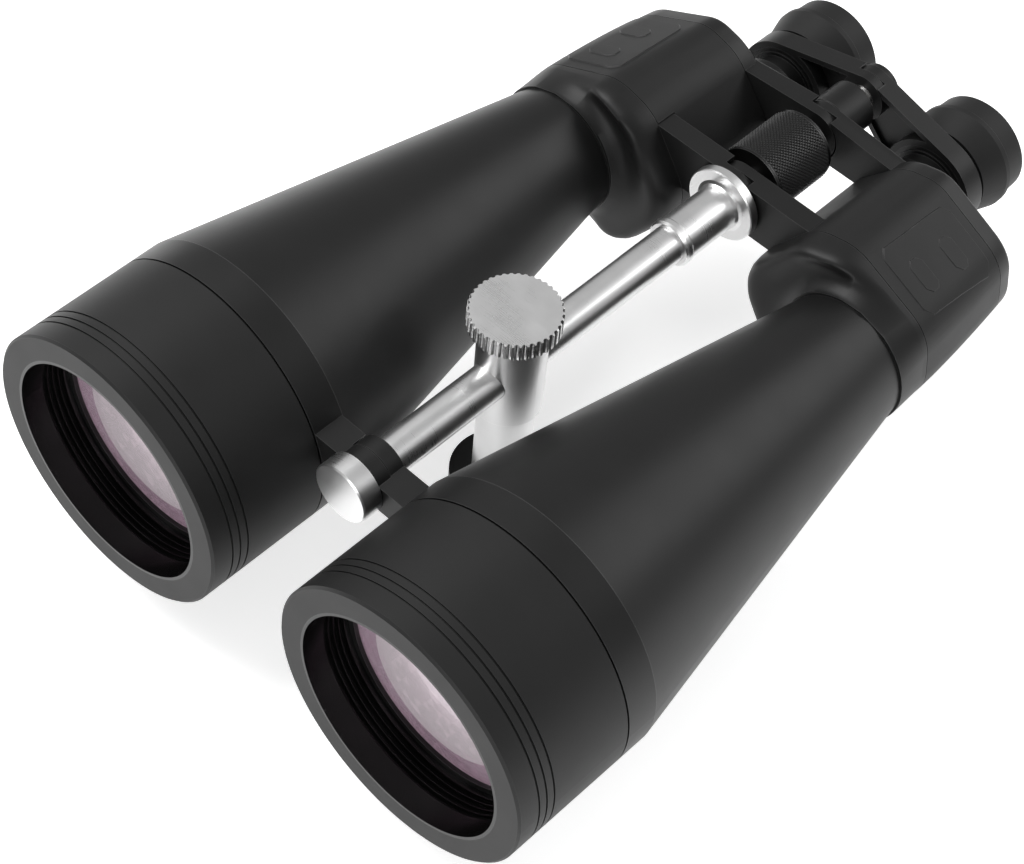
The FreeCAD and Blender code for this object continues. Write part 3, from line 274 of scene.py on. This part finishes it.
# %% Turned and plated metal
def turned_look(name, dark, light, worn, rough, along, depth, shine=0.5, metal=1.0, wear=25.0):
    """Metal with fine turning lines; along is the axis that the piece was turned about."""
    look, shader, place = new_look(name)
    squeeze = Vector((60.0, 60.0, 60.0))
    squeeze["XYZ".index(along)] = 9000.0
    stretched = place.add(
        "ShaderNodeMapping", inputs={"Vector": place, "Scale": squeeze}
    )
    lines = place.add(
        "ShaderNodeTexNoise", inputs={"Vector": stretched, "Scale": 1.0, "Detail": 2.0}
    )
    patches = noise(place, 0.08, 4.0)
    rubbed = edge_wear(place, 0.4 * MM, wear)
    colour = rubbed.blend((patches * 0.6 + lines * 0.4).blend(dark, light), worn)
    wire_or_number(look.node_tree, colour, shader.inputs["Base Color"])
    roughness = rough * 0.6 + patches * (rough * 0.5) + lines * (rough * 0.3)
    wire_or_number(look.node_tree, roughness, shader.inputs["Roughness"])
    wire_or_number(look.node_tree, bump(place, lines, depth), shader.inputs["Normal"])
    shader.inputs["Metallic"].default_value = metal
    shader.inputs["Specular IOR Level"].default_value = shine
    looks[name] = look
    return look


turned_look("chrome", grey(0.80), grey(0.88), grey(0.95), 0.30, "Y", 0.0015 * MM)
turned_look("post_chrome", grey(0.76), grey(0.86), grey(0.92), 0.34, "Z", 0.0006 * MM)
turned_look("bright_steel", grey(0.50, 0.01), grey(0.60, 0.01), grey(0.75), 0.26, "Y", 0.002 * MM)
turned_look("wheel_metal", grey(0.03), grey(0.05), grey(0.14), 0.38, "Y", 0.002 * MM)
turned_look("black_steel", grey(0.018), grey(0.03), grey(0.3), 0.34, "Z", 0.002 * MM, metal=0.6)
turned_look("anodised_black", grey(0.004), grey(0.007), grey(0.05), 0.36, "Y", 0.003 * MM, metal=0.3)
turned_look("brass", (0.46, 0.31, 0.11, 1), (0.56, 0.4, 0.16, 1), (0.8, 0.64, 0.34, 1), 0.3, "Z",
            0.002 * MM)
print("metals added:", len(looks), "looks")

# %% [markdown]
# ## Coated glass
# An object lens is clear, but its coating throws back a little pink and violet light. A
# plain glass shader would show only the dark tube behind it. Here the glass lets a part of
# the light through, and a tinted gloss lies over it. The gloss also glows with a painted
# reflection: paler over the middle, painted there for the light that the two inner faces of
# the lens throw back, and mauve round the rim.

# %% Glass
def glass_look(name, tint, rim_painted_glow, middle_painted_glow, share_rim, share_middle, blur, mirror, painted_glow=0.0):
    look, shader, place = new_look(name)
    tree = look.node_tree
    low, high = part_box("left_crown_lens")
    axis = (low + high) / 2
    # This mask is 1 over the middle of the lens, where the painted reflection is paler.
    middle = (0.70 * (high.x - axis.x) - off_axis(place, axis)) * 2500.0 + 0.5
    middle = middle.add("ShaderNodeClamp", inputs={"Value": middle})
    haze = noise(place, 0.05, 3.0)
    shader.inputs["Base Color"].default_value = tint
    shader.inputs["Transmission Weight"].default_value = 1.0
    shader.inputs["IOR"].default_value = 1.5
    shader.inputs["Roughness"].default_value = 0.02
    gloss = tree.nodes.new("ShaderNodeBsdfPrincipled")
    gloss.inputs["Metallic"].default_value = 1.0
    colour = middle.blend(rim_painted_glow, middle_painted_glow)
    wire_or_number(tree, haze * 0.04 + blur, gloss.inputs["Roughness"])
    gloss.inputs["Base Color"].default_value = mirror
    # The gloss's emission is a painted reflection, a glow: paler over the middle, mauve round the rim.
    wire_or_number(tree, colour, gloss.inputs["Emission Color"])
    gloss.inputs["Emission Strength"].default_value = painted_glow
    share = middle * (share_middle - share_rim) + share_rim
    both = place.add(
        "ShaderNodeMixShader",
        inputs={0: share, 1: Wire(tree, shader.outputs[0]), 2: Wire(tree, gloss.outputs[0])},
    )
    tree.links.new(both.socket, tree.nodes["Material Output"].inputs["Surface"])
    looks[name] = look
    return look


# The coated lens glows with a painted reflection of strength 0.46; the clear glass has none.
glass_look("coated_glass", (0.96, 0.9, 0.95, 1), (0.58, 0.40, 0.50, 1), (0.95, 0.87, 0.90, 1),
           0.36, 0.56, 0.24, (0.30, 0.23, 0.27, 1), 0.46)
glass_look("clear_glass", (0.97, 0.99, 0.98, 1), (0.8, 0.85, 0.9, 1), (0.9, 0.92, 0.95, 1),
           0.08, 0.1, 0.03, (0.6, 0.62, 0.64, 1))
print("glass added:", len(looks), "looks")

# %% [markdown]
# ## Giving every CAD node its look
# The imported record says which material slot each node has, so no list of pieces is
# needed here: each slot in the record has the name of one of the looks above. Looping over
# the record also means that a node that is added to the model later can't be forgotten.

# %% Assign the looks
slot_of = {}
for part in frame["record"]["subparts"]:
    slot_of[part["node"]] = part["material_slot"]
for name, node in nodes.items():
    node.data.materials.clear()
    node.data.materials.append(looks[slot_of[name]])
print("nodes with a look:", sum(1 for n in nodes.values() if n.data.materials))

# %% [markdown]
# ## Modelling tools
# Each new piece below starts from a primitive or from a copy of its CAD node, is shaped in
# edit mode, and ends with its object at the origin. These helpers pick faces, edges and
# points by their place, because an operator acts on whatever is selected.

# %% Modelling helpers
def alone(piece):
    bpy.ops.object.select_all(action="DESELECT")
    piece.select_set(True)
    bpy.context.view_layer.objects.active = piece


def edit(piece, mode="FACE"):
    alone(piece)
    bpy.ops.object.mode_set(mode="EDIT")
    bpy.ops.mesh.select_mode(type=mode)


def choose(piece, kind, test):
    """Select the faces, edges or points (kind) that pass a test; nothing else."""
    grid = bmesh.from_edit_mesh(piece.data)
    for part in (*grid.faces, *grid.edges, *grid.verts):
        part.select = False
    chosen = [part for part in getattr(grid, kind) if test(part)]
    for part in chosen:
        part.select = True
    grid.select_flush_mode()
    bmesh.update_edit_mesh(piece.data)
    return len(chosen)


def copy_of(node_name, piece_name):
    """A copy of a CAD node's mesh, with its loose triangles merged."""
    piece = nodes[node_name].copy()
    piece.data = nodes[node_name].data.copy()
    for key in list(piece.keys()):
        del piece[key]
    piece.parent = None
    piece.name = piece_name
    bpy.context.scene.collection.objects.link(piece)
    edit(piece, "VERT")
    bpy.ops.mesh.customdata_custom_splitnormals_clear()
    bpy.ops.mesh.select_all(action="SELECT")
    bpy.ops.mesh.remove_doubles(threshold=0.001 * MM)
    bpy.ops.object.mode_set(mode="OBJECT")
    return piece


def finish_piece(piece, body, slot, stands_for, angle=32.0):
    """Outward normals, smooth shading, place in the mesh, look, body."""
    edit(piece, "VERT")
    bpy.ops.mesh.select_all(action="SELECT")
    bpy.ops.mesh.remove_doubles(threshold=0.001 * MM)
    bpy.ops.mesh.normals_make_consistent(inside=False)
    bpy.ops.object.mode_set(mode="OBJECT")
    alone(piece)
    bpy.ops.object.transform_apply(location=True, rotation=True, scale=True)
    bpy.ops.object.shade_smooth_by_angle(angle=math.radians(angle))
    piece.data.materials.clear()
    piece.data.materials.append(looks[slot])
    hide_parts(stands_for)
    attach(piece, body)
    print(piece.name, "has", len(piece.data.polygons), "faces")
    return piece


# %% [markdown]
# ## The knurled focus grip
# The focus wheel has a rubber sleeve with a fine diamond knurl, so that a cold finger can
# turn it. A bump map could draw the diamonds, but at the wheel's edge the outline would be
# smooth. So they are modelled: a tube of squares, each split by a point in its middle, has
# diamonds across its old edges. When the old edges are dissolved only the diamonds are
# left, and one inset raises them all.

# %% Knurled grip
KNURL_AROUND = 58
KNURL_ROWS = 17
KNURL_HEIGHT = 0.42 * MM
KNURL_BORDER = 0.34 * MM
GRIP_THICKNESS = 1.4 * MM


def knurled_grip():
    low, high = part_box("focus_wheel_grip")
    axis = (low + high) / 2
    outer = (high.x - low.x) / 2
    inner = outer - GRIP_THICKNESS
    bpy.ops.object.select_all(action="DESELECT")
    bpy.ops.mesh.primitive_cylinder_add(
        vertices=KNURL_AROUND, radius=outer - KNURL_HEIGHT, depth=high.y - low.y,
        end_fill_type="NOTHING", location=axis, rotation=(math.pi / 2, 0, 0),
    )
    grip = bpy.context.object
    grip.name = "knurled_grip"
    bpy.ops.object.transform_apply(location=True, rotation=True, scale=True)
    edit(grip, "EDGE")
    choose(grip, "edges", lambda e: abs(e.verts[0].co.y - e.verts[1].co.y) > 1.0 * MM)
    bpy.ops.mesh.subdivide(number_cuts=KNURL_ROWS - 1)
    squares = bmesh.from_edit_mesh(grip.data)
    corners = {tuple(round(c, 7) for c in v.co) for v in squares.verts}
    bpy.ops.mesh.select_all(action="SELECT")
    bpy.ops.mesh.poke()

    def is_old(vert):
        return tuple(round(c, 7) for c in vert.co) in corners

    def old_inner_edge(edge):
        return len(edge.link_faces) == 2 and is_old(edge.verts[0]) and is_old(edge.verts[1])

    bpy.ops.mesh.select_mode(type="EDGE")
    choose(grip, "edges", old_inner_edge)
    bpy.ops.mesh.dissolve_edges(use_verts=False)
    bpy.ops.mesh.select_mode(type="FACE")
    bpy.ops.mesh.select_all(action="SELECT")
    bpy.ops.mesh.inset(
        thickness=KNURL_BORDER, depth=KNURL_HEIGHT, use_individual=True, use_boundary=True
    )
    bpy.ops.mesh.select_mode(type="EDGE")
    choose(grip, "edges", lambda e: len(e.link_faces) == 1)
    bpy.ops.mesh.extrude_edges_move()
    shrink = inner / (outer - KNURL_HEIGHT)
    bpy.ops.transform.resize(value=(shrink, 1, shrink), center_override=axis)
    bpy.ops.mesh.bridge_edge_loops()
    bpy.ops.object.mode_set(mode="OBJECT")
    return finish_piece(grip, "focus_wheel", "grip_rubber", "focus_wheel_grip", 20.0)


knurled_grip()

# %% [markdown]
# ## The draft of the prism housing
# A casting narrows a little towards its back, so that it can leave its mould: the outer and
# the upper walls lean in, and the rubber and the rear cover follow them. The CAD shapes are
# straight, because their prisms and screws are measured from one outline. So the draft is
# put on here, with one rule for every piece of the housing, and their seams stay shut. The
# rule leaves the hinge side and the place round the eyepiece alone, where other pieces fit.

# %% Draft
OUTER_DRAFT = 5.0 * MM
UPPER_DRAFT = 3.2 * MM
DRAFT_CURVE = 1.4
GUIDE_MARGIN = 2 * MM
GUIDE_BLEND = 9 * MM
HINGE_WIDTH = 19 * MM
HINGE_BLEND = 12 * MM
DRAFT_CUTS = 5


def eased(value):
    """0 below 0 and 1 above 1, with a soft start and end."""
    value = min(1.0, max(0.0, value))
    return value * value * (3 - 2 * value)


def draft_of(side):
    """The rule for one side: how far the draft moves a point."""
    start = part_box(f"{side}_armour")[0].y
    low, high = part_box(f"{side}_rear_cover")
    outward = math.copysign(1.0, low.x + high.x)
    widest = max(abs(low.x), abs(high.x))
    guide_low, guide_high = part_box(f"{side}_guide_tube")
    guide = (guide_low + guide_high) / 2
    guide_radius = (guide_high.x - guide_low.x) / 2

    def move(point):
        clear = math.hypot(point.x - guide.x, point.z - guide.z) - guide_radius
        free = eased((clear - GUIDE_MARGIN) / GUIDE_BLEND)
        back = min(1.0, max(0.0, (point.y - start) / (high.y - start))) ** DRAFT_CURVE
        out = eased((abs(point.x) - 0.42 * widest) / (0.5 * widest))
        off_hinge = eased((abs(point.x) - HINGE_WIDTH) / HINGE_BLEND)
        up = eased((point.z - 0.55 * high.z) / (0.42 * high.z)) * off_hinge
        return Vector((-outward * OUTER_DRAFT * out, 0, -UPPER_DRAFT * up)) * (back * free)

    return move


def tapered(piece, side):
    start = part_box(f"{side}_armour")[0].y
    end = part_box(f"{side}_rear_cover")[0].y
    edit(piece, "VERT")
    for step in range(1, DRAFT_CUTS + 1):
        y = start + (end - start) * step / (DRAFT_CUTS + 1)
        bpy.ops.mesh.select_all(action="SELECT")
        bpy.ops.mesh.bisect(plane_co=(0, y, 0), plane_no=(0, 1, 0))
    bpy.ops.object.mode_set(mode="OBJECT")
    move = draft_of(side)
    for point in piece.data.vertices:
        point.co += move(point.co)
    return piece


# %% [markdown]
# ## The moulded rubber
# The rubber skin has a raised pad on its outer slope, where the fingers lie, with two low
# ridges on it. They could be separate bars, but rubber is moulded in one piece. So the
# slope of the skin is cut along the outline of the pad, with its corners taken off, and one
# inset raises what lies inside it. The ridges are raised from the pad in the same way.

# %% Pads
def raised_pad(piece, inner, outer, front, back, corner, border, height):
    """Raise a pad on the outer slope; inner and outer are distances from the hinge plane."""
    outward = math.copysign(1.0, sum(v.co.x for v in piece.data.vertices))

    def on_slope(face):
        return face.normal.z > 0.45 and face.normal.x * outward > 0.1

    cuts = (
        ((inner, front), (-1, 0)), ((outer, front), (1, 0)),
        ((inner, front), (0, -1)), ((inner, back), (0, 1)),
        ((inner + corner, front), (-1, -1)), ((outer - corner, front), (1, -1)),
        ((inner + corner, back), (-1, 1)), ((outer - corner, back), (1, 1)),
    )
    planes = []
    for (across, along), (side_way, length_way) in cuts:
        place = Vector((across * outward, along, 0))
        planes.append((place, Vector((side_way * outward, length_way, 0)).normalized()))
    edit(piece, "FACE")
    for place, away in planes:
        choose(piece, "faces", on_slope)
        bpy.ops.mesh.bisect(plane_co=place, plane_no=away)

    def inside(face):
        middle = face.calc_center_median()
        return on_slope(face) and all((middle - place).dot(away) < 0.0 for place, away in planes)

    count = choose(piece, "faces", inside)
    bpy.ops.mesh.inset(thickness=border, depth=height, use_boundary=True)
    bpy.ops.object.mode_set(mode="OBJECT")
    return count


def moulded_rubber(side):
    piece = tapered(copy_of(f"{side}_armour", f"{side}_moulded_rubber"), side)
    low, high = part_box(f"{side}_armour")
    widest = max(abs(low.x), abs(high.x))
    length = high.y - low.y
    pad = raised_pad(
        piece, widest - 32 * MM, widest - 7 * MM, low.y + 0.10 * length,
        high.y - 0.08 * length, 3.0 * MM, 0.42 * MM, 0.36 * MM,
    )
    for place in (0.24, 0.60):
        raised_pad(
            piece, widest - 24 * MM, widest - 12 * MM, low.y + place * length,
            low.y + (place + 0.15) * length, 2.0 * MM, 0.28 * MM, 0.24 * MM,
        )
    print(piece.name, "pad faces", pad)
    return finish_piece(piece, f"{side}_half", "armour_rubber", f"{side}_armour", 30.0)


for side in SIDES:
    moulded_rubber(side)
    cover = tapered(copy_of(f"{side}_rear_cover", f"{side}_drafted_cover"), side)
    finish_piece(cover, f"{side}_half", slot_of[f"{side}_rear_cover"], f"{side}_rear_cover", 30.0)
    screws = tapered(copy_of(f"{side}_cover_screws", f"{side}_drafted_screws"), side)
    finish_piece(screws, f"{side}_half", slot_of[f"{side}_cover_screws"], f"{side}_cover_screws", 30.0)

# %% [markdown]
# ## The cast nose of the prism housing
# In front of its seam the housing is a soft casting: the rim rounds over, dips in a hollow
# above the tube, swells forward on the hinge side where the front prism sits, and closes
# round the tube. The CAD nose has the same rim and ring but plain steps between them. A
# sculpted mesh could do it, but it would not end exactly on the rim. So the copy of the CAD
# node is cut behind its nose, the open outline is extruded forward in rings, and each ring
# is slid towards the tube by a share and forward by a profile.

# %% Nose profile
# Each ring of the nose: share of the way from the rim to the tube, and how far in front of
# the cut it lies, in millimetres, where it is full and where it is hollow.
NOSE_RINGS = (
    (0.000, 1.5, 1.5),
    (0.004, 4.5, 4.5),
    (0.022, 7.2, 7.2),
    (0.060, 9.2, 9.1),
    (0.110, 10.5, 10.1),
    (0.170, 11.3, 10.5),
    (0.250, 11.9, 10.3),
    (0.350, 12.3, 9.5),
    (0.460, 12.4, 8.6),
    (0.580, 12.3, 8.1),
    (0.700, 12.1, 8.2),
    (0.820, 12.1, 9.2),
    (0.920, 12.5, 10.9),
    (1.000, 13.2, 12.6),
)


# The rings have their full shape where the rim is at least SHAPED_GAP from the tube. The
# hollow is faint on the lower side and full on the upper one.
SHAPED_GAP = 15.0 * MM
LEAST_HOLLOW = 0.3
RING_RADIUS = 25.2 * MM
SPIGOT_RADIUS = 22.1 * MM
LIGHT_RADIUS = 19.6 * MM
RING_LENGTH = 6.0 * MM


def width_of(points):
    across = [p.co.x for p in points]
    return max(across) - min(across)


def in_order(parts):
    return sorted(parts, key=lambda part: part.index)


def open_loops(grid, y):
    """The open edges that lie at y, as loops of edges and their points, widest first.

    A set has no fixed order, so each loop is sorted before anything is built on it.
    """
    grid.edges.index_update()
    grid.verts.index_update()
    left = {
        e for e in grid.edges
        if len(e.link_faces) == 1 and all(abs(v.co.y - y) < 0.01 * MM for v in e.verts)
    }
    loops = []
    while left:
        loop = {left.pop()}
        points = {v for e in loop for v in e.verts}
        more = loop
        while more:
            more = {e for e in left if points & set(e.verts)}
            loop |= more
            left -= more
            points |= {v for e in more for v in e.verts}
        loops.append((in_order(loop), in_order(points)))
    return sorted(loops, key=lambda item: -width_of(item[1]))


def extruded(grid, edges):
    made = bmesh.ops.extrude_edge_only(grid, edges=list(edges))["geom"]
    return [part for part in made if isinstance(part, bmesh.types.BMEdge)]


# %% Nose mesh
def cast_nose(side):
    node_name = f"{side}_prism_housing"
    piece = tapered(copy_of(node_name, f"{side}_cast_housing"), side)
    barrel_low, barrel_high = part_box(f"{side}_barrel")
    tube = (barrel_low + barrel_high) / 2
    spigot_end = barrel_high.y
    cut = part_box(f"{side}_armour")[0].y - 1.0 * MM
    edit(piece, "VERT")
    bpy.ops.mesh.select_all(action="SELECT")
    bpy.ops.mesh.bisect(plane_co=(0, cut, 0), plane_no=(0, -1, 0), clear_outer=True)
    grid = bmesh.from_edit_mesh(piece.data)
    loops = open_loops(grid, cut)
    print(node_name, "cut has", [len(loop) for loop, points in loops], "edges")
    rim, hollow = loops[0], loops[1]
    edges = rim[0]
    known = {}
    for point in rim[1]:
        out = Vector((point.co.x - tube.x, 0, point.co.z - tube.z))
        known[point] = (out.normalized(), out.length)

    def next_ring(where):
        """Extrude the last ring; where gives a point's distance from the axis, and its y."""
        nonlocal edges, known
        edges = extruded(grid, edges)
        moved = {}
        for point in {v: None for e in edges for v in e.verts}:
            before = next(
                e.other_vert(point) for e in point.link_edges if e.other_vert(point) in known
            )
            away, reach = known[before]
            distance, y = where(away, reach)
            point.co = Vector((tube.x, 0, tube.z)) + away * distance
            point.co.y = y
            moved[point] = (away, reach)
        known = moved

    first, last = NOSE_RINGS[0][1], NOSE_RINGS[-1][1]
    for share, full, dip in NOSE_RINGS:

        def on_nose(away, reach):
            room = eased((reach - RING_RADIUS) / SHAPED_GAP)
            lift = LEAST_HOLLOW + (1 - LEAST_HOLLOW) * eased((away.z + 0.35) / 1.25)
            swell = full + (dip - full) * lift
            straight = first + (last - first) * share
            ahead = (straight + (swell - straight) * room) * MM
            return reach + (RING_RADIUS - reach) * share, cut - ahead

        next_ring(on_nose)
    for radius, y in (
        (RING_RADIUS, spigot_end - RING_LENGTH),
        (SPIGOT_RADIUS, spigot_end - RING_LENGTH),
        (SPIGOT_RADIUS, spigot_end + 0.05 * MM),
        (LIGHT_RADIUS, spigot_end + 0.05 * MM),
    ):
        next_ring(lambda away, reach: (radius, y))
    inner = extruded(grid, hollow[0])
    for point in {v for e in inner for v in e.verts}:
        point.co.y = spigot_end + 0.8 * MM
    bmesh.ops.bridge_loops(grid, edges=edges + inner)
    bmesh.update_edit_mesh(piece.data)
    bpy.ops.object.mode_set(mode="OBJECT")
    return finish_piece(piece, f"{side}_half", "body_paint", node_name, 35.0)


for side in SIDES:
    cast_nose(side)

# %% [markdown]
# ## Floor, light and camera
# A plain pale floor lies under the object, in soft light: a large soft box from above
# and to the right, two weaker ones from the front left and from behind, and a pale sky all
# round for the chrome to reflect. The floor gives off some light of its own. The camera
# stands high at the front left of the object, far enough back for a long lens, and is
# rolled a little.

# %% Floor
# When the halves are folded as far down as they go, the hoods sink by this much. The floor
# lies below that, so that it never hides a part of them.
FOLD_DROP = 17.0 * MM


def stage_floor():
    bpy.ops.object.select_all(action="DESELECT")
    bpy.ops.mesh.primitive_plane_add(size=8.0, location=(0, 0, cad_low.z - FOLD_DROP))
    floor = bpy.context.object
    floor.name = "floor"
    look, shader, place = new_look("floor_white")
    tone = noise(place, 0.004, 2.0).blend(grey(0.90), grey(0.92))
    wire_or_number(look.node_tree, tone, shader.inputs["Base Color"])
    wire_or_number(look.node_tree, tone, shader.inputs["Emission Color"])
    shader.inputs["Emission Strength"].default_value = 0.66
    shader.inputs["Roughness"].default_value = 0.8
    floor.data.materials.append(look)
    return floor


stage_floor()
print("floor at", round(cad_low.z - FOLD_DROP, 4))

# %% Light
def soft_box(name, place, aim, size, watts):
    light = bpy.data.lights.new(name, "AREA")
    light.shape = "RECTANGLE"
    light.size, light.size_y = size
    light.energy = watts
    lamp = bpy.data.objects.new(name, light)
    bpy.context.scene.collection.objects.link(lamp)
    lamp.location = place
    lamp.rotation_mode = "QUATERNION"
    lamp.rotation_quaternion = (Vector(aim) - Vector(place)).to_track_quat("-Z", "Y")
    return lamp


middle = (cad_low + cad_high) / 2
soft_box("key_box", (-0.9, -0.3, 1.3), middle, (1.0, 1.4), 22.0)
soft_box("front_box", (0.6, -1.6, 0.6), middle, (1.2, 0.8), 9.0)
soft_box("back_box", (0.5, 1.4, 1.0), middle, (1.4, 0.8), 10.0)

sky = bpy.data.worlds.new("studio_sky")
sky.use_nodes = True
sky.node_tree.nodes["Background"].inputs["Color"].default_value = (1, 1, 1, 1)
sky.node_tree.nodes["Background"].inputs["Strength"].default_value = 0.40
bpy.context.scene.world = sky
bpy.context.scene.view_settings.view_transform = "Standard"
print("three soft boxes and a pale sky")

# %% Camera
EYE_PLACE = Vector((0.3496, -0.4716, 0.7232))
EYE_AIM = Vector((-0.0013, -0.0424, 0.0246))
EYE_ROLL = math.radians(5.85)
LENS_MM = 93.04

camera_data = bpy.data.cameras.new("long_lens")
camera_data.lens = LENS_MM
camera_data.sensor_width = 36.0
camera_data.clip_start = 0.01
camera = bpy.data.objects.new("long_lens", camera_data)
bpy.context.scene.collection.objects.link(camera)
camera.location = EYE_PLACE
camera.rotation_mode = "QUATERNION"
level = (EYE_AIM - EYE_PLACE).to_track_quat("-Z", "Y")
camera.rotation_quaternion = level @ Quaternion((0, 0, 1), EYE_ROLL)
bpy.context.scene.camera = camera
print("camera", [round(v, 3) for v in camera.location])
